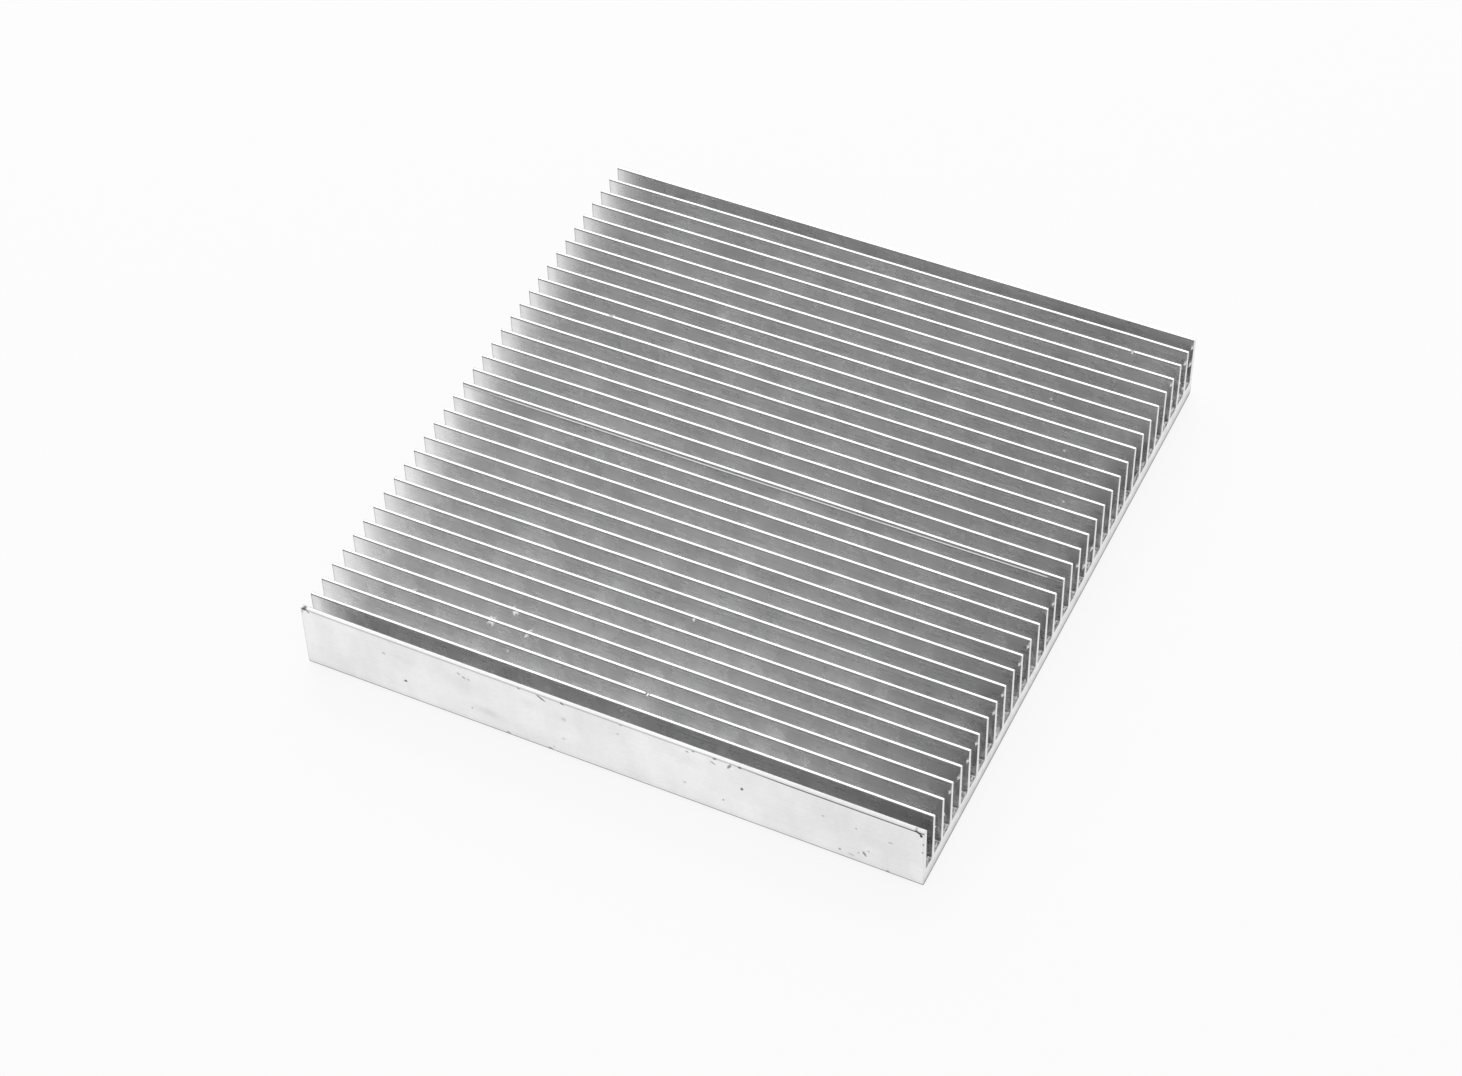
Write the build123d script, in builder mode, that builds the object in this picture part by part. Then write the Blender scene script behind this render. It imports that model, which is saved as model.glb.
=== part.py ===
from build123d import *
import os

# Finned aluminium heat sink, one extruded piece, sawn to length.
# Millimetres, +Z up. X runs along the fins, Y runs across them.
# The origin is the middle of the flat underside.

# Overall size
length = 150.0            # X, the sawn length, along the fins
width = 158.0             # Y, across all the fins
height = 18.5             # Z, underside to fin tips

# Base plate
base_thickness = 4.5      # underside to the floor of the gaps
base_edge_radius = 0.8    # the two long lower edges

# Inner fins, each a little thicker at the root than at the tip
fin_count = 34            # all fins, the two outer ones included
fin_tip = 0.85
fin_root = 1.05
fin_tip_radius = 0.25
fin_root_radius = 0.45

# The two outer fins, upright and flush outside, thickened inward
outer_tip = 1.20
outer_root = 1.40
outer_edge_radius = 0.30  # the long outer edge of each outer fin's tip

# Derived
pitch = (width - fin_tip) / (fin_count - 1)
fin_height = height - base_thickness
first_y = -width / 2 + fin_tip / 2

with BuildPart() as heat_sink:
    # The profile is drawn in the YZ plane: sketch x is Y, sketch y is Z.
    with BuildSketch(Plane.YZ) as profile:
        with Locations((0, base_thickness / 2)):
            Rectangle(width, base_thickness)
        # Inner fins
        with Locations(*[(first_y + i * pitch, base_thickness) for i in range(1, fin_count - 1)]):
            Polygon(
                (-fin_root / 2, 0),
                (fin_root / 2, 0),
                (fin_tip / 2, fin_height),
                (-fin_tip / 2, fin_height),
                align=None,
            )
        # Outer fin at -Y, then its mirror image at +Y
        with Locations((-width / 2, base_thickness)):
            Polygon(
                (0, 0),
                (outer_root, 0),
                (outer_tip, fin_height),
                (0, fin_height),
                align=None,
            )
        with Locations((width / 2, base_thickness)):
            Polygon(
                (0, 0),
                (0, fin_height),
                (-outer_tip, fin_height),
                (-outer_root, 0),
                align=None,
            )
        # Two long lower edges of the base
        fillet(profile.vertices().group_by(Axis.Y)[0], radius=base_edge_radius)
        # Long outer edge of the tip of each outer fin
        tips = profile.vertices().group_by(Axis.Y)[-1].sort_by(Axis.X)
        fillet([tips[0], tips[-1]], radius=outer_edge_radius)
        # All other tip corners
        tips = profile.vertices().group_by(Axis.Y)[-1].sort_by(Axis.X)
        fillet(tips[1:-1], radius=fin_tip_radius)
        # Root corners on the floor of the gaps
        roots = [v for v in profile.vertices() if abs(v.Y - base_thickness) < 0.001 and abs(v.X) < width / 2 - 0.01]
        fillet(roots, radius=fin_root_radius)
    extrude(amount=length / 2, both=True)

heat_sink.part.label = "heat_sink"

os.makedirs("parts", exist_ok=True)
export_step(heat_sink.part, "parts/heat_sink.step")
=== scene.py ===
import math

import bpy
import numpy as np
from mathutils import Matrix, Vector


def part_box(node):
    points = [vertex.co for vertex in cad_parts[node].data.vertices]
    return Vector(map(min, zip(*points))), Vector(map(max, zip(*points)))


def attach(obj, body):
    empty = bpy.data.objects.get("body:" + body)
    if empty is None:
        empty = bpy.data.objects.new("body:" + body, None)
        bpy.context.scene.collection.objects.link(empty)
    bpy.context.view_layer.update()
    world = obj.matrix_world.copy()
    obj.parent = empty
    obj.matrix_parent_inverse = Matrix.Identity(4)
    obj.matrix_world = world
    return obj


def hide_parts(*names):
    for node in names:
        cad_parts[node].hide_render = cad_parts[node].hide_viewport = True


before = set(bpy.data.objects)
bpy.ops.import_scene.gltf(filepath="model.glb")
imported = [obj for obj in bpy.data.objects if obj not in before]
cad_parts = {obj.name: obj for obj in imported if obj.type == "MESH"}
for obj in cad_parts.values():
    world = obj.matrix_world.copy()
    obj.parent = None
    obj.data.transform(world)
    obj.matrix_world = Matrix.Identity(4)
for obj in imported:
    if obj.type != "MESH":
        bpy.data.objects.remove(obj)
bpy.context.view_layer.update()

# Finned aluminium heat sink, one extruded piece with two sawn ends.
# Metres. X runs along the fins, Y across them, Z up from the underside.
MM = 0.001
LOW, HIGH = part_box("heat_sink")
LENGTH = HIGH.x - LOW.x
WIDTH = HIGH.y - LOW.y
HEIGHT = HIGH.z - LOW.z

# The profile, as in the solid
BASE = 4.5 * MM
BASE_EDGE_RADIUS = 0.8 * MM
FIN_COUNT = 34
FIN_TIP = 0.85 * MM
FIN_ROOT = 1.05 * MM
FIN_TIP_RADIUS = 0.25 * MM
FIN_ROOT_RADIUS = 0.45 * MM
OUTER_TIP = 1.20 * MM
OUTER_ROOT = 1.40 * MM
OUTER_EDGE_RADIUS = 0.30 * MM
PITCH = (WIDTH - FIN_TIP) / (FIN_COUNT - 1)
SAW_EDGE = 0.07 * MM          # the fine broken edge round each sawn end
SAW_TILT = 0.20 * MM          # how far the cut at +X runs in under the tips, at the underside

# Mesh density
ROOT_STEPS = 4
TIP_STEPS = 3
WALL_ROWS = 4
STATIONS = 41                 # evenly spaced sections along the fins
NICK_STATIONS = np.array([-1.8, -0.8, 0.0, 0.8, 1.8])    # sections added round a nick, in its half widths
SLIVER_STEPS = 8              # steps along a burr

# Small lean and waviness of each fin, at its tip
FIN_SEED = 11
LEAN = 0.035 * MM
WAVE = 0.030 * MM
LONG_WAVES = 1.7              # waves over the whole length
SHORT_WAVES = 5.3
SHORT_WAVE_SHARE = 0.4
OUTER_FIN_SHARE = 0.3         # the share of all this that the two outer fins have
BEND_POWER = 1.5              # how it grows from root to tip

# The front fin's left end is bent in a little further
FRONT_END_BEND = 0.30 * MM
FRONT_BEND_START = -30 * MM
FRONT_BEND_LENGTH = 45 * MM

# Nicks in the fin tips: fin number from the front, place along X, half width, depth
NICKS = [
    (2, 6.1 * MM, 0.30 * MM, 0.35 * MM),
    (23, -53.0 * MM, 0.35 * MM, 0.10 * MM),
    (31, 63.1 * MM, 0.40 * MM, 0.06 * MM),
]
NICK_FADE = 0.7 * MM          # how far below the tips a nick ends

# The score along the near face of one fin. It has five rows: the middle one is a ridge between two grooves.
SCORE_FIN = 16
SCORE_START = -74.0 * MM
SCORE_END = 74.3 * MM
SCORE_FADE_IN = 12 * MM
SCORE_FADE_OUT = 2 * MM
SCORE_BELOW_TIP = 0.92 * MM
SCORE_HALF_WIDTH = 0.50 * MM
SCORE_HEIGHT = 0.12 * MM
SCORE_ROWS = np.array([1.0, 1.5, 2.0, 2.5, 3.0])
SCORE_RELIEF = [0.0, 0.5, -0.7, 0.9, 0.0]    # how far each row goes in, as a share of the score's height
SCORE_RIDGE = 2.0
# Rows of the score that get painted shade in the mill material
SCORE_PAINTED_SHADE_ROWS = [1.5, 3.0]
SCORE_CLIMB = 0.12 * MM       # how far the score rises towards -X
SCORE_CLIMB_START = -50 * MM
SCORE_CLIMB_LENGTH = 20 * MM
SCORE_WANDER = 0.04 * MM      # how far it goes up and down all along
SCORE_WANDER_LENGTH = 9 * MM

# Burrs, and the teeth on the fin tips
BURR_SEED = 5
BURR_INSET = 0.40 * MM        # from the sawn end to the middle of a burr
BURR_BOW = 0.1 * MM           # how far a burr bows outward from there
BURR_ROOT = 0.15 * MM         # how deep its root is in the wall
BURR_RADIUS = 0.30 * MM
HAIR_RADIUS = 0.18 * MM
CURL_MARGIN = 0.5 * MM        # from a gap's walls to the curls on its floor
TOOTH_BELOW_TIP = 0.40 * MM
TOOTH_ROOT = 0.15 * MM        # from the middle of the fin to the root of a tooth
TOOTH_RADIUS = 0.39 * MM

# Material slots of the body, in the order in which its materials are added
MILL_SLOT, SAWN_SLOT, FRONT_SLOT, BACK_SLOT = range(4)

RAGGED = 0.5 * MM             # how uneven the outlines of marks are

# Floor and lights
FLOOR_SIZE = 6.0
FLOOR_GREY = 0.9
FLOOR_GLOW = 0.86             # how much of the floor's colour is plain white where it is seen or mirrored
WORLD_LIGHT = 0.9
SOFTBOX_PLACE = (-0.35, 0.55, 0.75)
SOFTBOX_SIZE = 0.9
SOFTBOX_RADIANCE = 1.25

# Light leaves the deep gaps only after many reflections
MAX_BOUNCES = 20
GLOSSY_BOUNCES = 16
DIFFUSE_BOUNCES = 8

# Camera, from the photograph's perspective, in a 1462 by 1076 frame
FRAME_WIDTH = 1462.0
SENSOR = 36.0
FOCAL_PIXELS = 3549.8
AXIS_PIXEL_X = 550.0
VIEW_AZIMUTH = math.radians(31.627)
VIEW_ELEVATION = math.radians(47.986)
VIEW_ROLL = math.radians(-5.682)
VIEW_DISTANCE = 818.7 * MM
VIEW_RIGHT = -48.52 * MM
VIEW_UP = -3.10 * MM


def fin_walls():
    """Y of the left and right wall of every fin, at the tip and at the root."""
    centre = -WIDTH / 2 + FIN_TIP / 2 + PITCH * np.arange(FIN_COUNT)
    left_tip = centre - FIN_TIP / 2
    right_tip = centre + FIN_TIP / 2
    left_root = centre - FIN_ROOT / 2
    right_root = centre + FIN_ROOT / 2
    left_tip[0] = left_root[0] = -WIDTH / 2
    right_tip[0] = -WIDTH / 2 + OUTER_TIP
    right_root[0] = -WIDTH / 2 + OUTER_ROOT
    right_tip[-1] = right_root[-1] = WIDTH / 2
    left_tip[-1] = WIDTH / 2 - OUTER_TIP
    left_root[-1] = WIDTH / 2 - OUTER_ROOT
    return left_tip, right_tip, left_root, right_root


def fin_side(tip_y, root_y, side, outer, score):
    """One side of a fin, from the floor up: a quarter arc at the root, a straight wall, a quarter arc at
    the tip. side is -1 for the wall that faces -Y and 1 for the one that faces +Y. An outer wall starts
    at the underside, with the base's rounded edge in place of the root arc. A scored wall has five rows
    across the score, in place of the plain rows there."""
    edge = OUTER_EDGE_RADIUS if outer else FIN_TIP_RADIUS
    foot = BASE_EDGE_RADIUS if outer else FIN_ROOT_RADIUS
    turn = np.linspace(0, math.pi / 2, ROOT_STEPS + 1)
    if outer:
        foot_y = root_y - side * foot * (1 - np.sin(turn))
        foot_z = foot * (1 - np.cos(turn))
    else:
        foot_y = root_y + side * foot * (1 - np.sin(turn))
        foot_z = BASE + foot * (1 - np.cos(turn))
    wall_z = np.linspace(foot_z[-1], HEIGHT - edge, WALL_ROWS + 1)[1:-1]
    mark = np.zeros(len(wall_z))
    if score:
        rows = HEIGHT - SCORE_BELOW_TIP + (SCORE_ROWS - SCORE_RIDGE) * SCORE_HALF_WIDTH
        wall_z = np.concatenate([wall_z[wall_z < rows[0] - SCORE_HALF_WIDTH], rows])
        mark = np.concatenate([np.zeros(len(wall_z) - len(rows)), SCORE_ROWS])
    slope = (wall_z - BASE) / (HEIGHT - BASE)
    wall_y = root_y + (tip_y - root_y) * np.clip(slope, 0, 1)
    tip_turn = np.linspace(0, math.pi / 2, TIP_STEPS + 1)
    top_y = tip_y - side * edge * (1 - np.cos(tip_turn))
    top_z = HEIGHT - edge + edge * np.sin(tip_turn)
    y = np.concatenate([foot_y, wall_y, top_y])
    z = np.concatenate([foot_z, wall_z, top_z])
    mark = np.concatenate([np.zeros(len(foot_y)), mark, np.zeros(len(top_y))])
    return y, z, mark


def outline():
    """The closed outline of the section, in order of Y over the fins: arrays of Y, Z, fin number and score
    row. The score row is one of SCORE_ROWS on the score, and 0 elsewhere."""
    left_tip, right_tip, left_root, right_root = fin_walls()
    columns = []
    for i in range(FIN_COUNT):
        left = fin_side(left_tip[i], left_root[i], -1, i == 0, i == SCORE_FIN)
        right = fin_side(right_tip[i], right_root[i], 1, i == FIN_COUNT - 1, False)
        columns.append([*left, np.full(len(left[0]), i)])
        columns.append([*(a[::-1] for a in right), np.full(len(right[0]), i)])
    y, z, mark, fin = (np.concatenate(c) for c in zip(*columns))
    return y, z, fin.astype(int), mark


def station_places():
    """X of each section: even steps, with more beside each nick and one just inside each sawn end."""
    inside = LENGTH / 2 - SAW_EDGE
    even = np.linspace(-inside, inside, STATIONS)
    local = [x + half * NICK_STATIONS for _, x, half, _ in NICKS]
    return np.unique(np.round(np.concatenate([even, *local]), 7))


def fin_bend(x, fin):
    """How far each fin's tip stands off its true place in Y: a constant, a slope and two sine waves along
    X. The two outer fins only lean inward, so that the part keeps its width."""
    rng = np.random.default_rng(FIN_SEED)
    amount = rng.normal(0, 1, (FIN_COUNT, 4))
    phase = rng.uniform(0, 2 * math.pi, (FIN_COUNT, 2))
    along = x / (LENGTH / 2)
    lean = LEAN * (amount[:, 0, None] + amount[:, 1, None] * along)
    long_wave = WAVE * amount[:, 2, None] * np.sin(LONG_WAVES * along * math.pi + phase[:, 0, None])
    short_turn = SHORT_WAVES * along * math.pi + phase[:, 1, None]
    short_wave = SHORT_WAVE_SHARE * WAVE * amount[:, 3, None] * np.sin(short_turn)
    bend = lean + long_wave + short_wave
    bent_end = np.clip((FRONT_BEND_START - x) / FRONT_BEND_LENGTH, 0, 1) ** 2
    bend[0] = OUTER_FIN_SHARE * np.abs(bend[0]) + FRONT_END_BEND * bent_end
    bend[-1] = -OUTER_FIN_SHARE * np.abs(bend[-1])
    return bend[fin]


def section_grid(y, z, fin, mark):
    """Points of the whole surface, sections by outline points: the outline at each X, with each fin's
    bend growing towards its tip, a dip at each nick that fades below the tip, and a ridge between two
    grooves along the score. The first and last section are the ones beside them, drawn in by the broken
    edge, and the ones at +X slant with the saw cut."""
    x = station_places()
    rise = np.clip((z - BASE) / (HEIGHT - BASE), 0, 1) ** BEND_POWER
    ys = y[None, :] + fin_bend(x, fin).T * rise[None, :]
    zs = np.repeat(z[None, :], len(x), 0)
    for number, place, half, depth in NICKS:
        reach = np.clip((z - (HEIGHT - NICK_FADE)) / NICK_FADE, 0, 1) * (fin == number)
        zs -= depth * np.exp(-((x[:, None] - place) / half) ** 2) * reach[None, :]
    faded_in = np.clip((x - SCORE_START) / SCORE_FADE_IN, 0, 1)
    faded_out = np.clip((SCORE_END - x) / SCORE_FADE_OUT, 0, 1)
    relief = np.select([mark == row for row in SCORE_ROWS], SCORE_RELIEF, 0.0)
    ys += SCORE_HEIGHT * (faded_in * faded_out)[:, None] * relief[None, :]
    climb = SCORE_CLIMB * np.clip((SCORE_CLIMB_START - x) / SCORE_CLIMB_LENGTH, 0, 1)
    lift = climb + SCORE_WANDER * np.sin(x / SCORE_WANDER_LENGTH)
    zs += np.where(mark > 0, 1, 0)[None, :] * lift[:, None]
    grid = np.empty((len(x) + 2, len(y), 3))
    grid[1:-1, :, 0] = x[:, None]
    grid[1:-1, :, 1] = ys
    grid[1:-1, :, 2] = zs
    for end, inner in ((0, 1), (-1, -2)):
        ring = grid[inner, :, 1:]
        along_ring = np.roll(ring, -1, 0) - np.roll(ring, 1, 0)
        along_ring /= np.linalg.norm(along_ring, axis=1)[:, None]
        inward = np.stack([along_ring[:, 1], -along_ring[:, 0]], 1)
        grid[end, :, 0] = math.copysign(LENGTH / 2, grid[inner, 0, 0])
        grid[end, :, 1:] = ring + SAW_EDGE * inward
    grid[-2:, :, 0] -= SAW_TILT * (1 - grid[-2:, :, 2] / HEIGHT)
    return grid


def area_normals(grid):
    """Vertex normals of a closed strip grid: the sum of the cross products of the quads round each point,
    so that wide faces count for more than the narrow ones of a rounded edge."""
    a = np.roll(grid, -1, 1)[:-1] - grid[1:]
    b = np.roll(grid, -1, 1)[1:] - grid[:-1]
    cross = np.cross(b, a)
    total = np.zeros_like(grid)
    total[:-1] += cross + np.roll(cross, 1, 1)
    total[1:] += cross + np.roll(cross, 1, 1)
    return total / np.maximum(np.linalg.norm(total, axis=2), 1e-20)[:, :, None]


def corner_normals(grid, quads, loops, mark, sawn_corners):
    """A normal for each face corner: the one of its point. On the score it is the face's own, because
    over grooves one quad wide the points' normals cancel out. On the sawn ends it is zero, which keeps
    them flat."""
    normals = area_normals(grid).reshape(-1, 3)[loops]
    scored = np.tile((mark > 0) & (np.roll(mark, -1) > 0), len(grid) - 1)
    corners = grid.reshape(-1, 3)[quads[scored]]
    face = np.cross(corners[:, 2] - corners[:, 0], corners[:, 3] - corners[:, 1])
    face /= np.linalg.norm(face, axis=1)[:, None]
    normals[:len(quads) * 4].reshape(-1, 4, 3)[scored] = face[:, None]
    normals[sawn_corners] = 0
    return normals.astype(np.float32)


def columns_before_inner_edge(z, fin):
    """How many outline points come before the inner rounded edge of the front fin's top."""
    top = np.flatnonzero((fin == 0) & (z > HEIGHT - 0.001 * MM))
    return top[-1]


def face_slots(y, z, fin, sawn):
    """The material slot of each face: front and back on the outsides of the two outer fins, the front one
    with its top, sawn on the ends and their broken edges, and mill on all the rest."""
    columns = len(y)
    front = (fin == 0) & (np.arange(columns) < columns_before_inner_edge(z, fin))
    back = (fin == FIN_COUNT - 1) & (y > WIDTH / 2 - 0.01 * MM)
    strip = np.select([front, back], [FRONT_SLOT, BACK_SLOT], MILL_SLOT)
    slots = np.resize(strip, len(sawn))
    slots[sawn] = SAWN_SLOT
    return slots.astype(np.int32)


def add_surface_data(mesh, grid, loops, mark):
    """The UV map, X by the way round the section, and the score attribute: 1 on the score's ridge, 0 on
    its two rows that get painted shade and 0.5 elsewhere."""
    rows = len(grid)
    steps = np.linalg.norm(np.diff(grid[1, :, 1:], axis=0), axis=1)
    round_section = np.concatenate([[0], np.cumsum(steps)])
    places = np.stack([grid[..., 0], np.repeat(round_section[None, :], rows, 0)], -1).reshape(-1, 2)
    uv = mesh.uv_layers.new(name="UVMap")
    uv.data.foreach_set("uv", places[loops].astype(np.float32).ravel())
    score = np.select([mark == SCORE_RIDGE, np.isin(mark, SCORE_PAINTED_SHADE_ROWS)], [1.0, 0.0], 0.5)
    painted_score_shade = mesh.attributes.new("score", "FLOAT", "POINT")
    painted_score_shade.data.foreach_set("value", np.tile(score, rows).astype(np.float32))


def put_in_scene(name, data):
    """A new object for a mesh, lamp or camera, at the origin."""
    piece = bpy.data.objects.new(name, data)
    bpy.context.scene.collection.objects.link(piece)
    return piece


def make_extrusion():
    """The whole heat sink as one closed mesh: quads between sections, and one flat face at each end."""
    y, z, fin, mark = outline()
    grid = section_grid(y, z, fin, mark)
    rows, columns = grid.shape[:2]
    index = np.arange(rows * columns).reshape(rows, columns)
    after = np.roll(index, -1, 1)
    quads = np.stack([index[:-1], index[1:], after[1:], after[:-1]], -1).reshape(-1, 4)
    loops = np.concatenate([quads.ravel(), index[0], index[-1][::-1]])
    starts = np.concatenate([np.arange(len(quads)) * 4, [len(quads) * 4, len(quads) * 4 + columns]])
    mesh = bpy.data.meshes.new("heat_sink_body")
    mesh.vertices.add(rows * columns)
    mesh.vertices.foreach_set("co", grid.reshape(-1, 3).astype(np.float32).ravel())
    mesh.loops.add(len(loops))
    mesh.loops.foreach_set("vertex_index", loops.astype(np.int32))
    mesh.polygons.add(len(starts))
    mesh.polygons.foreach_set("loop_start", starts.astype(np.int32))
    mesh.update(calc_edges=True)
    mesh.validate()
    sawn = np.zeros(len(starts), bool)
    sawn[:columns] = True
    sawn[len(quads) - columns:] = True
    mesh.polygons.foreach_set("use_smooth", ~sawn)
    mesh.polygons.foreach_set("material_index", face_slots(y, z, fin, sawn))
    add_surface_data(mesh, grid, loops, mark)
    sawn_corners = np.repeat(sawn, np.diff(np.append(starts, len(loops))))
    mesh.normals_split_custom_set(corner_normals(grid, quads, loops, mark, sawn_corners))
    return put_in_scene("heat_sink_body", mesh)


def new_group(name, inputs, outputs):
    """A shader node group with float or vector inputs and float outputs, and its input and output nodes."""
    tree = bpy.data.node_groups.new(name, "ShaderNodeTree")
    for label, value in inputs.items():
        kind = "NodeSocketVector" if isinstance(value, tuple) else "NodeSocketFloat"
        socket = tree.interface.new_socket(label, in_out="INPUT", socket_type=kind)
        socket.default_value = value
    for label in outputs:
        tree.interface.new_socket(label, in_out="OUTPUT", socket_type="NodeSocketFloat")
    return tree, tree.nodes.new("NodeGroupInput"), tree.nodes.new("NodeGroupOutput")


def maths(tree, operation, first, second=None, clamp=False):
    """One Math node. Each value is a number or a socket."""
    node = tree.nodes.new("ShaderNodeMath")
    node.operation = operation
    node.use_clamp = clamp
    for socket, value in zip(node.inputs, (first, second)):
        if isinstance(value, (int, float)):
            socket.default_value = value
        elif value is not None:
            tree.links.new(value, socket)
    return node.outputs[0]


def times(tree, first, *others):
    """The product of all the values, each a number or a socket."""
    for other in others:
        first = maths(tree, "MULTIPLY", first, other)
    return first


def ramp(tree, value, low, high, from_value=0.0, to_value=1.0):
    """A smooth step of value from low to high."""
    node = tree.nodes.new("ShaderNodeMapRange")
    node.interpolation_type = "SMOOTHSTEP"
    node.inputs["From Min"].default_value = low
    node.inputs["From Max"].default_value = high
    node.inputs["To Min"].default_value = from_value
    node.inputs["To Max"].default_value = to_value
    tree.links.new(value, node.inputs["Value"])
    return node.outputs["Result"]


def noise(tree, place, scale, detail, roughness=0.5):
    """A Noise Texture node at place."""
    node = tree.nodes.new("ShaderNodeTexNoise")
    node.inputs["Scale"].default_value = scale
    node.inputs["Detail"].default_value = detail
    node.inputs["Roughness"].default_value = roughness
    tree.links.new(place, node.inputs["Vector"])
    return node


def stretched(tree, place, scale):
    """place, times one scale for each axis."""
    node = tree.nodes.new("ShaderNodeMapping")
    node.inputs["Scale"].default_value = scale
    tree.links.new(place, node.inputs["Vector"])
    return node.outputs["Vector"]


def mill_finish_group():
    """Finish of an extruded face, from its place in metres: clouds, a finer bloom, and die lines along X."""
    outputs = ("Clouds", "Bloom", "Lines")
    tree, start, end = new_group("mill_finish", {"Place": (0.0, 0.0, 0.0)}, outputs)
    place = start.outputs["Place"]
    clouds = noise(tree, stretched(tree, place, (230, 260, 90)), 1.0, 1.0)
    bloom = noise(tree, place, 1100.0, 1.0, 0.5)
    broad = noise(tree, stretched(tree, place, (4, 1300, 1300)), 1.0, 2.0, 0.7)
    tree.links.new(ramp(tree, clouds.outputs["Fac"], 0.32, 0.68), end.inputs["Clouds"])
    tree.links.new(bloom.outputs["Fac"], end.inputs["Bloom"])
    tree.links.new(ramp(tree, broad.outputs["Fac"], 0.3, 0.7), end.inputs["Lines"])
    return tree


def mark_group():
    """One mark on a face: 1 inside an ellipse, and 0 outside. Softness is the share of it that fades."""
    inputs = {"Place": (0.0, 0.0, 0.0), "Centre": (0.0, 0.0, 0.0), "Turn": (0.0, 0.0, 0.0),
              "Half Size": (0.001, 1.0, 0.001), "Softness": 0.5}
    tree, start, end = new_group("mark", inputs, ("Mask",))
    local = tree.nodes.new("ShaderNodeMapping")
    local.vector_type = "TEXTURE"
    tree.links.new(start.outputs["Place"], local.inputs["Vector"])
    tree.links.new(start.outputs["Centre"], local.inputs["Location"])
    tree.links.new(start.outputs["Turn"], local.inputs["Rotation"])
    tree.links.new(start.outputs["Half Size"], local.inputs["Scale"])
    reach = tree.nodes.new("ShaderNodeVectorMath")
    reach.operation = "LENGTH"
    tree.links.new(local.outputs["Vector"], reach.inputs[0])
    inside = maths(tree, "SUBTRACT", 1.0, reach.outputs["Value"])
    mask = maths(tree, "DIVIDE", inside, start.outputs["Softness"], True)
    tree.links.new(mask, end.inputs["Mask"])
    return tree


def new_metal(name):
    """A metal material, with its tree, its Principled shader, and its place in metres."""
    material = bpy.data.materials.new(name)
    material.use_nodes = True
    tree = material.node_tree
    surface = tree.nodes["Principled BSDF"]
    surface.inputs["Metallic"].default_value = 1.0
    place = tree.nodes.new("ShaderNodeTexCoord").outputs["Object"]
    return material, tree, surface, place


def axes(tree, place):
    """X, Y and Z of place."""
    node = tree.nodes.new("ShaderNodeSeparateXYZ")
    tree.links.new(place, node.inputs[0])
    return node.outputs["X"], node.outputs["Y"], node.outputs["Z"]


def grey(tree, value, surface):
    """Feed one value to all three channels of the base colour."""
    colour = tree.nodes.new("ShaderNodeCombineColor")
    for channel in colour.inputs:
        tree.links.new(value, channel)
    tree.links.new(colour.outputs["Color"], surface.inputs["Base Color"])


def bump(tree, height, distance, surface):
    """Relief of the surface: height from 0 to 1, over distance."""
    node = tree.nodes.new("ShaderNodeBump")
    node.inputs["Distance"].default_value = distance
    tree.links.new(height, node.inputs["Height"])
    tree.links.new(node.outputs["Normal"], surface.inputs["Normal"])


def use_finish(tree, place):
    """Clouds, bloom and die lines of the mill finish at place, each from 0 to 1."""
    node = tree.nodes.new("ShaderNodeGroup")
    node.node_tree = bpy.data.node_groups["mill_finish"]
    tree.links.new(place, node.inputs["Place"])
    return node.outputs["Clouds"], node.outputs["Bloom"], node.outputs["Lines"]


def blend(tree, share, first, second):
    """first where share is 0, second where it is 1."""
    node = tree.nodes.new("ShaderNodeMix")
    for socket, value in zip(node.inputs[:4], (share, None, first, second)):
        if isinstance(value, (int, float)):
            socket.default_value = value
        elif value is not None:
            tree.links.new(value, socket)
    return node.outputs[0]


def wall_shade(tree, x, y, clouds, lines):
    """Grey of the gap walls: clouds and die lines, times slow changes along and across the part that are
    painted light and shade: a little lighter in the left third, darker towards +X, more so near the front
    and at the very end, and darker in the first and the last gap. Light goes in and out of a gap by six
    reflections or so, which makes each change here much stronger in the picture."""
    shade = blend(tree, clouds, 0.884, 0.938)
    left_third = ramp(tree, x, -66 * MM, -42 * MM, 1.008, 1.0)
    drawn_lines = blend(tree, lines, 0.955, 1.02)
    right_half = ramp(tree, x, 0.0, 72 * MM, 1.0, 0.965)
    by_the_end = ramp(tree, y, 30 * MM, 60 * MM, 0.90, 0.99)
    right_end = blend(tree, ramp(tree, x, 66 * MM, 75 * MM), 1.0, by_the_end)
    near_the_end = ramp(tree, y, -WIDTH / 2, 45 * MM, 0.93, 1.018)
    right_part = blend(tree, ramp(tree, x, 45 * MM, 75 * MM), 1.0, near_the_end)
    gap_start = WIDTH / 2 - 5.3 * MM
    gap_end = WIDTH / 2 - 4.9 * MM
    first_gap = ramp(tree, y, -gap_end, -gap_start, 0.915, 1.0)
    last_gap = ramp(tree, y, gap_start, gap_end, 1.0, 0.988)
    return times(tree, shade, left_third, drawn_lines, right_half, right_end, right_part, first_gap, last_gap)


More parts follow.
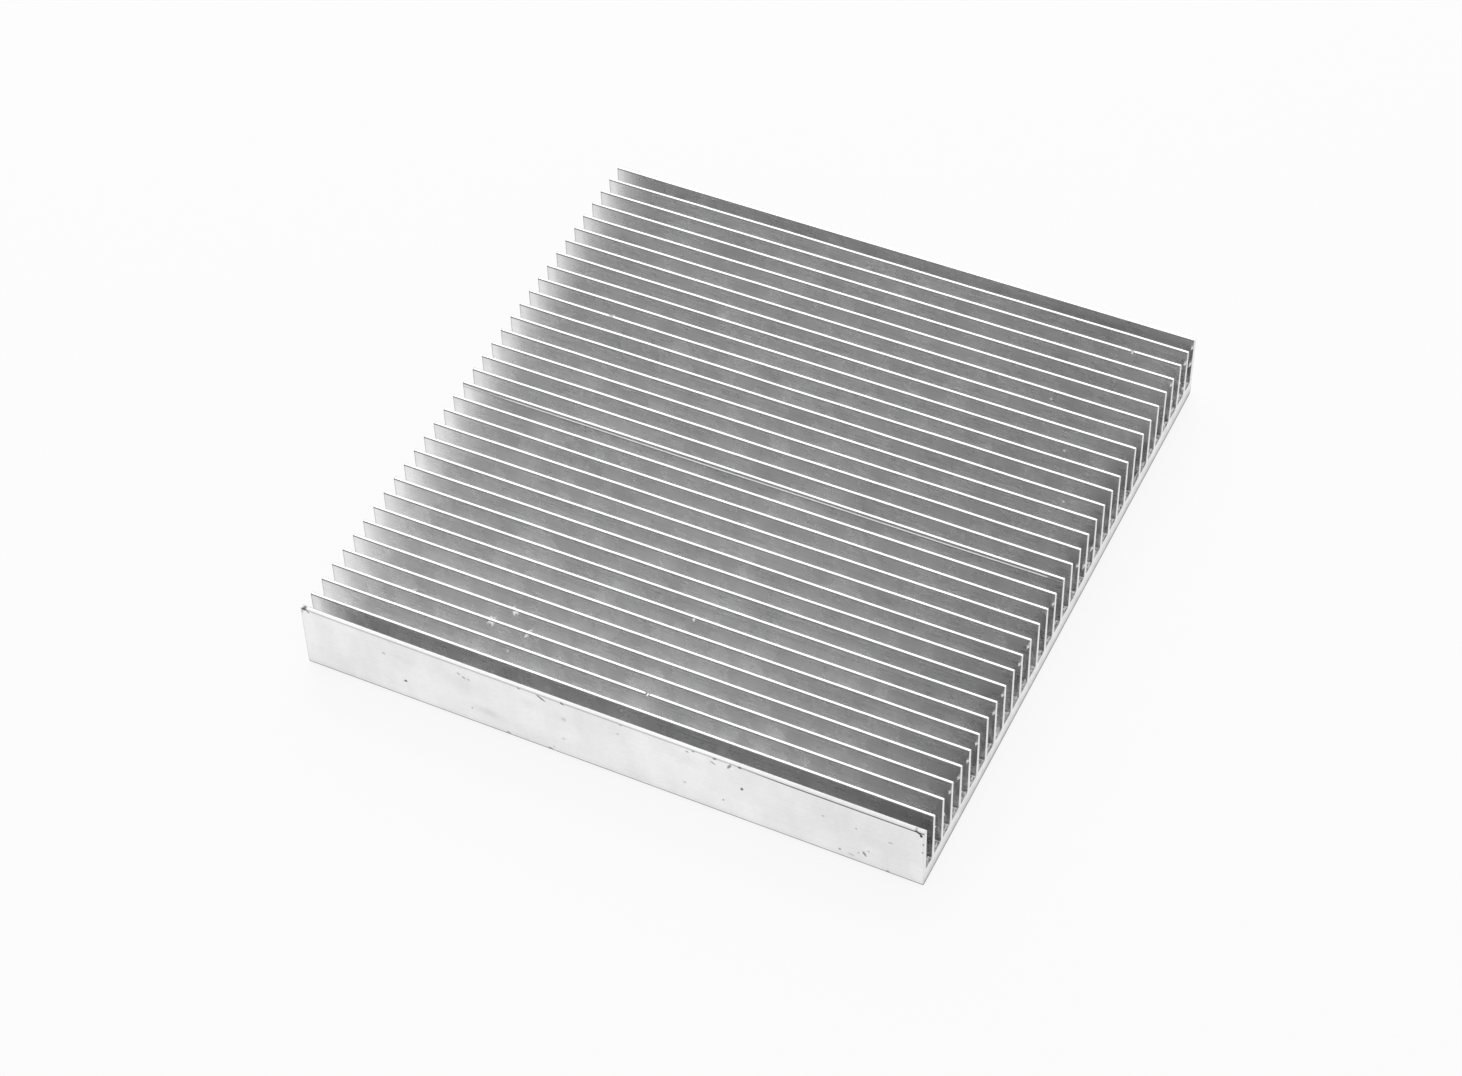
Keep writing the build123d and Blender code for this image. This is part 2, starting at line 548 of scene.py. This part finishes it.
def mill_material():
    """Bare extruded aluminium in the gaps, on the inner fins' tips and on the underside: bright, a little
    cloudy, with die lines. The score's shaded rows get painted shade, the walls are darker and blotchy low
    down at +X, the rounded shoulders of the tips get painted shade while their flat tops stay pale, and
    painted shade darkens the walls at -X, with a thin dark line at the cut."""
    material, tree, surface, place = new_metal("mill_aluminium")
    x, y, z = axes(tree, place)
    clouds, _, lines = use_finish(tree, place)
    # Painted shade on the score's shaded rows, read from the score attribute
    score = tree.nodes.new("ShaderNodeAttribute")
    score.attribute_name = "score"
    grooves = ramp(tree, score.outputs["Fac"], 0.0, 0.45, 0.40, 1.0)
    shade = times(tree, wall_shade(tree, x, y, clouds, lines), grooves)
    # Darker and blotchy low down at +X
    low_end = times(tree, ramp(tree, x, 70 * MM, 74.2 * MM), ramp(tree, z, 9 * MM, 15 * MM, 1.0, 0.0))
    blotches = noise(tree, stretched(tree, place, (900, 900, 200)), 1.0, 1.0).outputs["Fac"]
    shade = blend(tree, low_end, shade, ramp(tree, blotches, 0.35, 0.65, 0.46, 0.80))
    # Painted shade on the rounded shoulders of the tips, whose flat tops stay pale
    shoulder = ramp(tree, z, HEIGHT - 0.27 * MM, HEIGHT - 0.22 * MM)
    shoulder_shade = ramp(tree, x, -70 * MM, -60 * MM, 0.30, 0.36)
    flat_top = ramp(tree, z, HEIGHT - 0.030 * MM, HEIGHT - 0.003 * MM)
    shade = blend(tree, shoulder, shade, blend(tree, flat_top, shoulder_shade, 0.93))
    # Painted shade on the walls at -X, more so high up and towards the back, and a thin darker line at the
    # cut
    left_end = blend(tree, ramp(tree, z, 9 * MM, 15 * MM), 0.97, 0.922)
    left_end = times(tree, left_end, ramp(tree, y, -50 * MM, 80 * MM, 1.0, 0.92))
    left_end = blend(tree, ramp(tree, x, -75 * MM, -58 * MM), left_end, 1.0)
    cut_line = ramp(tree, x, -LENGTH / 2 + 0.16 * MM, -LENGTH / 2 + 0.34 * MM, 0.62, 1.0)
    grey(tree, times(tree, shade, left_end, cut_line), surface)
    tree.links.new(ramp(tree, z, 14.6 * MM, 17.9 * MM, 1.0, 0.86), surface.inputs["Metallic"])
    rough = maths(tree, "ADD", blend(tree, clouds, 0.28, 0.22), times(tree, lines, 0.05))
    tree.links.new(rough, surface.inputs["Roughness"])
    bump(tree, lines, 0.004 * MM, surface)
    return material


def sawn_material():
    """The sawn ends: bright and rough, with fine upright saw lines. The base's end is duller than the
    fins' ends, and painted light and shade make it lighter upwards, with a dark band of painted shade along
    its lower edge. From the pale band at its upper edge, partly a burr and partly a painted highlight,
    upwards the metal is torn, and scatters light more than it mirrors it."""
    material, tree, surface, place = new_metal("sawn_aluminium")
    _, _, z = axes(tree, place)
    saw = noise(tree, stretched(tree, place, (1, 5000, 350)), 1.0, 3.0, 0.6).outputs["Fac"]
    patches = noise(tree, place, 420.0, 2.0).outputs["Fac"]
    # A pale band at the upper edge of the base's end: partly a burr, partly a painted highlight
    burr_and_highlight_start = BASE - 0.75 * MM
    burr_and_highlight_end = BASE - 0.45 * MM
    patchy = ramp(tree, patches, 0.3, 0.7, 0.70, 0.82)
    # Painted light and shade: the base's end grows lighter upwards
    base = times(tree, patchy, ramp(tree, z, 0.8 * MM, 3.6 * MM, 0.86, 1.19))
    shade = blend(tree, ramp(tree, z, burr_and_highlight_start, burr_and_highlight_end), base, 1.0)
    # Painted shade: a dark band along the lower edge
    lower_edge_shade = ramp(tree, z, 0.5 * MM, 1.1 * MM, 0.42, 1.0)
    grey(tree, times(tree, shade, lower_edge_shade, ramp(tree, saw, 0.3, 0.7, 0.96, 1.0)), surface)
    tree.links.new(ramp(tree, z, burr_and_highlight_start, burr_and_highlight_end, 1.0, 0.3), surface.inputs["Metallic"])
    tree.links.new(ramp(tree, saw, 0.2, 0.8, 0.46, 0.32), surface.inputs["Roughness"])
    bump(tree, saw, 0.008 * MM, surface)
    return material


def add_mark(tree, place, mark, shade):
    """Change shade inside one mark: X, Z, half length, half height, turn, softness, and the factor there."""
    x, z, half_length, half_height, turn, softness, value = mark
    node = tree.nodes.new("ShaderNodeGroup")
    node.node_tree = bpy.data.node_groups["mark"]
    node.inputs["Centre"].default_value = (x * MM, -WIDTH / 2, z * MM)
    node.inputs["Turn"].default_value = (0, -math.radians(turn), 0)
    node.inputs["Half Size"].default_value = (half_length * MM, 1.0, half_height * MM)
    node.inputs["Softness"].default_value = softness
    tree.links.new(place, node.inputs["Place"])
    return blend(tree, node.outputs["Mask"], shade, times(tree, shade, value))


def ragged(tree, place):
    """place, moved at random by up to half of RAGGED along X and Z, for marks with uneven outlines."""
    warp = noise(tree, place, 1100.0, 2.0).outputs["Color"]
    shift = tree.nodes.new("ShaderNodeVectorMath")
    shift.operation = "MULTIPLY_ADD"
    shift.inputs[1].default_value = (RAGGED, 0, RAGGED)
    tree.links.new(warp, shift.inputs[0])
    half = tree.nodes.new("ShaderNodeVectorMath")
    half.inputs[1].default_value = (-RAGGED / 2, 0, -RAGGED / 2)
    tree.links.new(place, half.inputs[0])
    tree.links.new(half.outputs["Vector"], shift.inputs[2])
    return shift.outputs["Vector"]


def outer_top(tree, z, below=0.0, above=1.0):
    """A step of value just under the flat top of an outer fin."""
    return ramp(tree, z, HEIGHT - 0.02 * MM, HEIGHT - 0.005 * MM, below, above)


def outer_material(name, marks, stains):
    """The outside of an outer fin, and its top: a smooth extruded face that has been handled, with soft
    stains and small hard marks, and painted shade along its edges. Its flat top scatters light more than
    it mirrors it."""
    material, tree, surface, place = new_metal(name)
    x, _, z = axes(tree, place)
    clouds, bloom, lines = use_finish(tree, place)
    wide = noise(tree, place, 70.0, 3.0).outputs["Fac"]
    shade = ramp(tree, wide, 0.3, 0.7, 0.876, 0.938)
    cloudy = blend(tree, clouds, 0.985, 1.01)
    bloomed = ramp(tree, bloom, 0.35, 0.65, 0.985, 1.01)
    drawn_lines = blend(tree, lines, 0.985, 1.005)
    shade = times(tree, shade, cloudy, bloomed, drawn_lines)
    ragged_place = ragged(tree, place)
    for stain in stains:
        shade = add_mark(tree, place, stain, shade)
    for mark in marks:
        shade = add_mark(tree, ragged_place, mark, shade)
    grey(tree, times(tree, shade, edge_lines(tree, x, z)), surface)
    tree.links.new(outer_top(tree, z, 1.0, 0.2), surface.inputs["Metallic"])
    tree.links.new(blend(tree, clouds, 0.36, 0.28), surface.inputs["Roughness"])
    bump(tree, lines, 0.003 * MM, surface)
    return material


def edge_lines(tree, x, z):
    """What the edges of an outer face are times its grey. Most of it is painted shade: a dull line along the
    rounded top edge, lower and bold towards +X, a top that is a little grey, and a dark line along the
    lower edge that fades out a little above it. A dark line also runs down each cut."""
    # Painted shade: a dull line along the rounded top edge, lower and bold towards +X
    bold = ramp(tree, x, 30 * MM, 44 * MM)
    lowered = maths(tree, "ADD", z, times(tree, bold, 0.18 * MM))
    line_start = ramp(tree, lowered, HEIGHT - 0.40 * MM, HEIGHT - 0.31 * MM)
    line_end = ramp(tree, lowered, HEIGHT - 0.06 * MM, HEIGHT - 0.01 * MM, 1.0, 0.0)
    line_shade = blend(tree, bold, 0.73, 0.10)
    top_line = blend(tree, times(tree, line_start, line_end), 1.0, line_shade)
    # Painted shade: the flat top a little grey
    bold_top = blend(tree, times(tree, outer_top(tree, z), bold), 1.0, 0.97)
    top = outer_top(tree, z, 1.0, 0.93)
    # Painted shade: a dark line along the lower edge, fading out above it
    lower_edge_shade = ramp(tree, z, 0.64 * MM, 0.96 * MM, 0.16, 1.0)
    above_it = ramp(tree, z, 1.2 * MM, 2.6 * MM, 0.95, 1.0)
    from_middle = maths(tree, "ABSOLUTE", x)
    cuts = ramp(tree, from_middle, LENGTH / 2 - 0.3 * MM, LENGTH / 2 - 0.1 * MM, 1.0, 0.75)
    return times(tree, top_line, bold_top, top, lower_edge_shade, above_it, cuts)


# Soft stains on the front face, in mm: X, Z, half length, half height, turn, softness, shade
FRONT_STAINS = [
    (-28.5, 5.6, 5.5, 1.8, -8, 0.9, 0.88),
    (-63.5, 15.0, 2.5, 2.5, 0, 1.0, 0.97),
    (-72.0, 6.5, 2.0, 2.5, 0, 1.0, 0.97),
    (-49.5, 13.5, 6.0, 1.2, -6, 1.0, 0.96),
    (-32.0, 12.5, 7.0, 4.5, 0, 1.0, 0.93),
    (-18.0, 14.0, 3.0, 2.2, 0, 1.0, 0.93),
    (-13.0, 3.0, 14.0, 3.4, 0, 1.0, 0.94),
    (2.5, 9.0, 13.0, 7.0, 0, 1.0, 1.03),
    (21.0, 14.5, 6.0, 2.5, -8, 1.0, 0.96),
    (7.8, 2.5, 4.5, 1.3, -5, 1.0, 0.94),
    (58.0, 9.0, 26.0, 13.0, 0, 0.8, 0.95),
    (62.0, 2.5, 12.0, 3.0, 0, 1.0, 0.96),
    (63.0, 7.0, 3.4, 2.2, 0, 1.0, 1.05),
    (47.5, 11.5, 5.0, 3.0, 0, 1.0, 1.04),
]

# Hard marks on the front face, in the same order: specks, scratches and nicks along the edges
FRONT_MARKS = [
    (-74.2, 18.35, 0.7, 0.35, 0, 0.5, 0.19),
    (-73.2, 17.95, 0.7, 0.28, -35, 0.5, 0.30),
    (-74.7, 17.6, 0.30, 0.80, 0, 0.6, 0.60),
    (-54.3, 13.2, 0.54, 0.31, -20, 0.6, 0.44),
    (-49.4, 6.1, 0.5, 0.5, 0, 0.5, 0.14),
    (-35.2, 15.7, 0.6, 0.31, -35, 0.6, 0.44),
    (-34, 15, 0.66, 0.31, -35, 0.6, 0.44),
    (-32.8, 14.8, 0.54, 0.28, -30, 0.6, 0.49),
    (-32.7, 5.2, 0.42, 0.38, 0, 0.7, 0.54),
    (-20.2, 18.15, 0.55, 0.26, 0, 0.5, 0.40),
    (-14.8, 17.5, 1.6, 0.33, -34, 0.4, 0.29),
    (-9.6, 18.15, 0.7, 0.26, -15, 0.5, 0.34),
    (-24, 1, 0.72, 0.44, 0, 0.6, 0.49),
    (-13.5, 1, 0.84, 0.38, 0, 0.6, 0.44),
    (-12.5, 2, 0.42, 0.31, 0, 0.7, 0.54),
    (-9.5, 13, 0.84, 1, 0, 1, 0.69),
    (-10, 6, 0.6, 0.62, 0, 1, 0.69),
    (3.7, 14.7, 0.6, 0.38, 0, 0.8, 0.64),
    (4.5, 18.15, 0.5, 0.26, 0, 0.5, 0.50),
    (19.3, 6.3, 0.48, 0.5, 0, 0.8, 0.59),
    (20.3, 17.3, 0.6, 0.38, 0, 0.8, 0.54),
    (21.7, 18.15, 0.5, 0.28, 0, 0.5, 0.40),
    (26.3, 16.6, 0.96, 0.31, -20, 0.6, 0.44),
    (26.8, 18.15, 0.6, 0.30, 0, 0.5, 0.28),
    (30.2, 17.4, 1.2, 0.35, 62, 0.5, 0.34),
    (31, 17, 0.9, 0.3, 62, 0.6, 1.1),
    (32.7, 18.15, 0.6, 0.30, 0, 0.5, 0.28),
    (33, 11.1, 0.46, 0.53, 0, 0.5, 0.19),
    (28.5, 5, 0.34, 0.38, 0, 0.6, 0.39),
    (51.8, 12, 0.42, 0.38, 0, 0.8, 0.59),
    (59.5, 11.8, 0.42, 0.38, 0, 0.8, 0.59),
    (67.3, 11.1, 0.66, 0.35, 0, 0.8, 0.59),
    (61.4, 4, 1.1, 0.33, -62, 0.5, 0.34),
    (62.3, 5.3, 0.42, 0.31, 40, 0.6, 0.49),
    (60, 3.7, 0.34, 0.35, 0, 0.7, 0.54),
    (55.7, 2.6, 0.42, 0.38, 0, 0.6, 0.44),
    (58.3, 2.2, 1.2, 0.31, 0, 0.9, 0.59),
    (66.8, 0.9, 0.6, 0.38, 0, 0.6, 0.49),
    (73.6, 18.05, 1.1, 0.31, -28, 0.4, 0.09),
    (74.2, 17.3, 0.42, 0.60, 0, 0.35, 0.06),
    (74.7, 14.5, 0.26, 0.5, 0, 0.5, 0.29),
    (74.6, 11.7, 0.26, 0.44, 0, 0.6, 0.44),
]


def make_slivers(name, roots, bends, tips, radius):
    """Thin curled burrs, all in one mesh. Each follows a quadratic curve from root to tip that is pulled
    towards its bend point, with a section of four sides that swells to the radius and then narrows to a
    point at both ends."""
    count = len(roots)
    t = np.linspace(0, 1, SLIVER_STEPS + 1)[1:-1]
    path = ((1 - t) ** 2)[:, None] * roots[:, None] + (2 * t * (1 - t))[:, None] * bends[:, None]
    path = path + (t ** 2)[:, None] * tips[:, None]
    way = tips - roots
    side = np.cross(way, np.array([0.3, 0.2, 1.0]))
    side /= np.linalg.norm(side, axis=1)[:, None]
    lift = np.cross(side, way)
    lift /= np.linalg.norm(lift, axis=1)[:, None]
    turn = np.arange(4) * math.pi / 2
    swell = radius[:, None] * (np.minimum(1, 4 * t) * np.minimum(1, 1.6 * (1 - t)))[None, :]
    ring = np.cos(turn)[:, None] * side[:, None, None] + np.sin(turn)[:, None] * lift[:, None, None]
    points = path[:, :, None] + swell[:, :, None, None] * ring
    rows = len(t)
    points = np.concatenate([points.reshape(count, rows * 4, 3), roots[:, None], tips[:, None]], 1)
    step = np.arange(rows * 4).reshape(rows, 4)
    after = np.roll(step, -1, 1)
    quads = np.stack([step[:-1], after[:-1], after[1:], step[1:]], -1).reshape(-1, 4)
    root_fan = np.stack([after[0], step[0], np.full(4, rows * 4)], -1)
    tip_fan = np.stack([step[-1], after[-1], np.full(4, rows * 4 + 1)], -1)
    shift = (np.arange(count) * (rows * 4 + 2))[:, None, None]
    faces = []
    for group in (quads, root_fan, tip_fan):
        faces += (group[None] + shift).reshape(-1, group.shape[1]).tolist()
    mesh = bpy.data.meshes.new(name)
    mesh.from_pydata(points.reshape(-1, 3).tolist(), [], faces)
    mesh.update()
    return put_in_scene(name, mesh)


# Burrs on the sawn end at +X, in mm: fin, Z of the root, reach towards -Y, or towards +Y where it is
# negative, and how far the free end drops
END_BURRS = [
    (3, 15.9, 0.75, 0.30),
    (4, 15.3, 0.85, 0.30),
    (5, 15.5, 0.80, 0.60),
    (6, 15.9, 0.90, 0.20),
    (8, 15.5, 0.90, 0.30),
    (9, 16.1, 0.80, 0.20),
    (11, 16.1, 1.00, 0.20),
    (12, 16.8, 1.00, 0.20),
    (15, 15.7, 0.80, 0.30),
    (18, 13.5, 0.70, 0.30),
    (19, 8.8, 1.30, 0.50),
    (20, 9.9, 1.50, 0.40),
    (30, 16.9, 0.60, 0.20),
    (32, 15.3, 1.05, 0.20),
    (33, 11.3, 1.60, 0.30),
    (33, 16.3, 0.80, 0.20),
    (29, 7.3, -0.90, 0.20),
    (30, 10.2, -1.20, 0.40),
    (31, 11.7, -1.30, 0.40),
    (31, 7.5, -1.00, 0.20),
    (32, 7.1, 1.00, 0.30),
]

# Longer hairs that hang across a gap at the same end, in mm: fin that holds it, Z there, far Y offset,
# far Z
END_HAIRS = [
    (2, 13.8, 2.4, 8.9),
    (1, 14.2, 2.2, 11.4),
    (3, 7.6, 1.4, 5.3),
]


def end_burrs():
    """Saw burrs at the ends of the gaps: the ones in the table, the hairs, and small curls on the gap
    floors, four to a gap at +X and one at -X. Each root lies inside the metal that holds it."""
    rng = np.random.default_rng(BURR_SEED)
    left_tip, right_tip, left_root, right_root = fin_walls()
    near_end = LENGTH / 2 - BURR_INSET
    bowed = near_end + BURR_BOW
    roots, bends, tips, radius = [], [], [], []
    for fin, z, reach, drop in END_BURRS:
        wall = left_tip[fin] - 0.02 * MM if reach > 0 else right_tip[fin] + 0.02 * MM
        roots.append((near_end, wall + math.copysign(BURR_ROOT, reach), z * MM))
        bends.append((bowed, wall - 0.6 * reach * MM, (z + 0.15) * MM))
        tips.append((near_end, wall - reach * MM, (z - drop) * MM))
        radius.append(BURR_RADIUS)
    for fin, z, reach, far_z in END_HAIRS:
        wall = right_tip[fin]
        roots.append((near_end, wall - BURR_ROOT, z * MM))
        bends.append((bowed, wall + 0.35 * reach * MM, 0.5 * (z + far_z) * MM + 0.2 * MM))
        tips.append((near_end - 0.2 * MM, wall + reach * MM, far_z * MM))
        radius.append(HAIR_RADIUS)
    for end, share in ((1, 4), (-1, 1)):
        for gap in np.repeat(np.arange(FIN_COUNT - 1), share):
            low = right_root[gap] + CURL_MARGIN
            high = left_root[gap + 1] - CURL_MARGIN
            y = rng.uniform(low, high)
            far = np.clip(y + rng.normal(0, 1.1) * MM, low, high)
            rise = rng.uniform(0.5, 1.9) * MM
            back_off = rng.uniform(0.1, 0.9) * MM
            roots.append((end * (near_end - back_off), y, BASE - 0.05 * MM))
            bends.append((end * near_end, 0.5 * (y + far) + rng.normal(0, 0.5) * MM, BASE + 1.2 * rise))
            tips.append((end * (near_end - 0.3 * back_off), far, BASE + 0.55 * rise))
            radius.append(rng.uniform(0.11, 0.22) * MM)
    return make_slivers("saw_burrs", *(np.array(a, float) for a in (roots, bends, tips, radius)))


# Small teeth on the fin tips, and flecks on the fins' sides, in mm: fin, X, reach along X, reach across
# Y, and how far below the level of the teeth
TIP_TEETH = [
    (3, -54.9, 0.7, 0.50, 0.0),
    (3, -56.3, 1.4, 0.12, 0.0),
    (3, -34.6, 0.5, 0.60, 0.0),
    (3, -34.6, -0.7, 0.45, 0.0),
    (3, -34.2, 0.5, -0.60, 0.0),
    (3, -34.5, -0.7, -0.40, 0.0),
    (3, -25.6, 0.5, 0.60, 0.0),
    (3, -25.3, -0.4, -0.60, 0.0),
    (4, -31.3, 0.6, -0.55, 0.0),
    (4, -30.9, 0.8, -0.25, 0.0),
    (4, -31.6, -0.3, 0.35, 0.0),
    (23, -53.0, 0.4, 0.40, 0.0),
    (31, 63.1, 0.3, -0.14, 0.0),
    (7, 5.8, 0.3, -0.45, 0.0),
    (2, -28.0, 0.25, -0.20, 1.5),
    (27, 50.9, 0.25, -0.20, 2.2),
    (24, 59.9, 0.25, -0.20, 1.8),
    (21, 65.4, 0.25, -0.20, 2.1),
    (14, 63.8, 0.25, -0.20, 4.4),
]


def tip_teeth():
    """Small teeth that knocks have raised from the fin tips, level with the tips, and flecks of the same
    form lower on the fins' sides. Each root lies inside its fin."""
    number, x, along, across, drop = np.array(TIP_TEETH, float).T
    centre = -WIDTH / 2 + FIN_TIP / 2 + PITCH * number
    side = np.sign(across)
    top = HEIGHT - TOOTH_BELOW_TIP
    roots = np.stack([x * MM, centre + side * TOOTH_ROOT, top - drop * MM], 1)
    tips = roots + np.stack([1.2 * along, 1.8 * across + side * 0.3, np.full(len(x), -0.02)], 1) * MM
    bends = 0.5 * (roots + tips) + np.stack([0 * x, side * 0.1, np.full(len(x), 0.03)], 1) * MM
    return make_slivers("tip_teeth", roots, bends, tips, np.full(len(x), TOOTH_RADIUS))


def burr_material():
    """Torn bright metal, with a fine uneven grain."""
    material, tree, surface, place = new_metal("torn_aluminium")
    surface.inputs["Metallic"].default_value = 0.1
    grain = noise(tree, place, 9000.0, 2.0, 0.6).outputs["Fac"]
    grey(tree, ramp(tree, grain, 0.2, 0.8, 0.94, 1.0), surface)
    tree.links.new(ramp(tree, grain, 0.2, 0.8, 0.6, 0.4), surface.inputs["Roughness"])
    bump(tree, grain, 0.02 * MM, surface)
    return material


def looking(tree):
    """1 for camera, glossy and transmission rays, and 0 for all others."""
    path = tree.nodes.new("ShaderNodeLightPath")
    seen = maths(tree, "MAXIMUM", path.outputs["Is Camera Ray"], path.outputs["Is Glossy Ray"])
    return maths(tree, "MAXIMUM", seen, path.outputs["Is Transmission Ray"])


def mix_shaders(tree, share, first, second, output):
    """first where share is 0 and second where it is 1, into the surface of the output."""
    mix = tree.nodes.new("ShaderNodeMixShader")
    tree.links.new(share, mix.inputs[0])
    tree.links.new(first.outputs[0], mix.inputs[1])
    tree.links.new(second.outputs[0], mix.inputs[2])
    tree.links.new(mix.outputs[0], output.inputs["Surface"])


def make_floor():
    """A plain pale floor. Camera, glossy and transmission rays see it brightened, with the shadow kept."""
    mesh = bpy.data.meshes.new("floor")
    half = FLOOR_SIZE / 2
    corners = [(-half, -half, 0), (half, -half, 0), (half, half, 0), (-half, half, 0)]
    mesh.from_pydata(corners, [], [(0, 1, 2, 3)])
    floor = put_in_scene("floor", mesh)
    material = bpy.data.materials.new("floor")
    material.use_nodes = True
    tree = material.node_tree
    tree.nodes.clear()
    output = tree.nodes.new("ShaderNodeOutputMaterial")
    diffuse = tree.nodes.new("ShaderNodeBsdfDiffuse")
    diffuse.inputs["Color"].default_value = (FLOOR_GREY, FLOOR_GREY, FLOOR_GREY, 1)
    glow = tree.nodes.new("ShaderNodeEmission")
    mix_shaders(tree, times(tree, looking(tree), FLOOR_GLOW), diffuse, glow, output)
    mesh.materials.append(material)


def make_world():
    """Even light from all round. Camera, glossy and transmission rays see it a little brighter."""
    world = bpy.data.worlds.new("studio")
    bpy.context.scene.world = world
    world.use_nodes = True
    tree = world.node_tree
    tree.nodes.clear()
    output = tree.nodes.new("ShaderNodeOutputWorld")
    light = tree.nodes.new("ShaderNodeBackground")
    light.inputs["Strength"].default_value = WORLD_LIGHT
    white = tree.nodes.new("ShaderNodeBackground")
    white.inputs["Strength"].default_value = 1.0
    mix_shaders(tree, looking(tree), light, white, output)


def add_softbox(name, place, size, radiance):
    """A square soft light at place that faces the part. Its brightness is given as seen, where 1 is
    white."""
    lamp = bpy.data.lights.new(name, "AREA")
    lamp.shape = "SQUARE"
    lamp.size = size
    lamp.energy = radiance * math.pi * size ** 2
    box = put_in_scene(name, lamp)
    box.location = place
    box.rotation_euler = (-Vector(place)).to_track_quat("-Z", "Y").to_euler()


def add_camera():
    """The camera's back, right and up directions come from its azimuth, elevation and roll about the
    part."""
    back = Vector((math.sin(VIEW_AZIMUTH) * math.cos(VIEW_ELEVATION),
                   -math.cos(VIEW_AZIMUTH) * math.cos(VIEW_ELEVATION),
                   math.sin(VIEW_ELEVATION)))
    level = Vector((math.cos(VIEW_AZIMUTH), math.sin(VIEW_AZIMUTH), 0))
    upright = back.cross(level)
    right = math.cos(VIEW_ROLL) * level + math.sin(VIEW_ROLL) * upright
    up = -math.sin(VIEW_ROLL) * level + math.cos(VIEW_ROLL) * upright
    data = bpy.data.cameras.new("camera")
    data.sensor_width = SENSOR
    data.lens = FOCAL_PIXELS * SENSOR / FRAME_WIDTH
    data.shift_x = (FRAME_WIDTH / 2 - AXIS_PIXEL_X) / FRAME_WIDTH
    camera = put_in_scene("camera", data)
    turn = Matrix((right, up, back)).transposed().to_4x4()
    place = back * VIEW_DISTANCE + right * VIEW_RIGHT + up * VIEW_UP
    camera.matrix_world = Matrix.Translation(place) @ turn
    bpy.context.scene.camera = camera


mill_finish_group()
mark_group()
body = make_extrusion()
body.data.materials.append(mill_material())
body.data.materials.append(sawn_material())
body.data.materials.append(outer_material("front_face", FRONT_MARKS, FRONT_STAINS))
body.data.materials.append(outer_material("far_face", [], []))
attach(body, "root")
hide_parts("heat_sink")

torn_metal = burr_material()
for burrs in (end_burrs(), tip_teeth()):
    burrs.data.materials.append(torn_metal)
    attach(burrs, "root")

make_floor()
make_world()
add_softbox("overhead", SOFTBOX_PLACE, SOFTBOX_SIZE, SOFTBOX_RADIANCE)
add_camera()
bpy.context.scene.view_settings.view_transform = "Standard"
bpy.context.scene.cycles.max_bounces = MAX_BOUNCES
bpy.context.scene.cycles.glossy_bounces = GLOSSY_BOUNCES
bpy.context.scene.cycles.diffuse_bounces = DIFFUSE_BOUNCES
